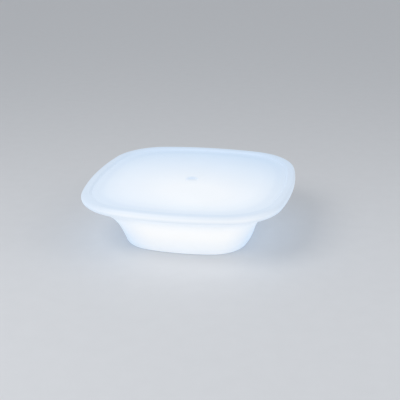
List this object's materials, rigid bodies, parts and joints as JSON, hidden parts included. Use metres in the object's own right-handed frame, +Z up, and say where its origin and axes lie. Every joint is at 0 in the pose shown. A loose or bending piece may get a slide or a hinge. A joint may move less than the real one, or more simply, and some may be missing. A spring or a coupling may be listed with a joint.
{
  "type": "led coffee table",
  "caption": "Low light-up lounge table: glowing moulded shell with a dished, rounded-square top on a flared foot, rechargeable light unit in the underside.",
  "frame": {"origin": "on the floor, under the middle of the footprint", "axes": "+Z up; -Y towards the side that the picture sees in front, +X to its right; the charging port and power button lie towards -Y on the underside"},
  "size_m": [0.67, 0.67, 0.185],
  "materials": {
    "shell_plastic": "translucent milky moulded polyethylene, fine satin texture, glowing cool white from inside",
    "plug_plastic": "translucent push-in plug, satin",
    "opal_plastic": "opal diffuser, satin",
    "base_plastic": "white moulded ABS, fine spark texture",
    "button_plastic": "light grey moulded cap, satin",
    "cradle_plastic": "black moulded ABS",
    "switch_plastic": "black moulded nylon",
    "socket_plastic": "natural nylon",
    "clear_plastic": "clear moulded acrylic",
    "rubber": "moulded non-slip rubber, matt",
    "seal_rubber": "grey silicone sheet",
    "flap_rubber": "grey moulded elastomer, satin",
    "steel": "zinc plated steel",
    "spring_steel": "drawn spring wire",
    "nickel": "nickel strip",
    "brass": "turned brass",
    "aluminium": "machined plate",
    "cell_wrap": "shrink sleeve",
    "control_laminate": "green solder mask on laminate",
    "light_laminate": "white solder mask on metal-cored laminate",
    "chip_epoxy": "black moulded epoxy",
    "ferrite": "pressed ferrite",
    "capacitor_sleeve": "sleeved aluminium can",
    "light_phosphor": "phosphor under clear silicone",
    "red_insulation": "silicone insulation",
    "black_insulation": "silicone insulation"
  },
  "bodies": {
    "table": {"body_shell": "shell_plastic", "vent_plug": "plug_plastic", "base_inserts": "brass", "rubber_feet": "rubber", "foot_screws": "steel", "light_unit_base": "base_plastic", "base_seal": "seal_rubber", "base_screws": "steel", "diffuser_dome": "opal_plastic", "dome_seal": "seal_rubber", "dome_screws": "steel", "battery_cells": "cell_wrap", "battery_cradle": "cradle_plastic", "cradle_screws": "steel", "contact_strips": "nickel", "battery_clamp": "cradle_plastic", "clamp_screws": "steel", "control_board": "control_laminate", "board_screws": "steel", "control_chip": "chip_epoxy", "power_inductor": "ferrite", "capacitors": "capacitor_sleeve", "lead_sockets": "socket_plastic", "power_switch": "switch_plastic", "button_spring": "spring_steel", "charge_jack": "switch_plastic", "jack_contact": "brass", "flap_pin": "steel", "charge_light_pipe": "clear_plastic", "board_pillars": "brass", "cooling_plate": "aluminium", "pillar_screws": "steel", "light_board": "light_laminate", "light_chips": "light_phosphor", "light_board_screws": "steel", "battery_lead_positive": "red_insulation", "battery_lead_negative": "black_insulation", "light_lead_positive": "red_insulation", "light_lead_negative": "black_insulation"},
    "power_button": {"power_button": "button_plastic"},
    "charge_flap": {"charge_flap": "flap_rubber"}
  },
  "joints": [
    {"name": "power_button_slide", "type": "slide", "parent": "table", "child": "power_button", "axis": [0, 0, 1], "range_m": [0, 0.0015], "stiffness_N_per_m": 400, "springref_m": -0.002, "deforming": ["button_spring"]},
    {"name": "charge_flap_hinge", "type": "hinge", "parent": "table", "child": "charge_flap", "pos_m": [0.016, -0.025, 0.0258], "axis": [1, 0, 0], "range_deg": [0, 100]}
  ]
}
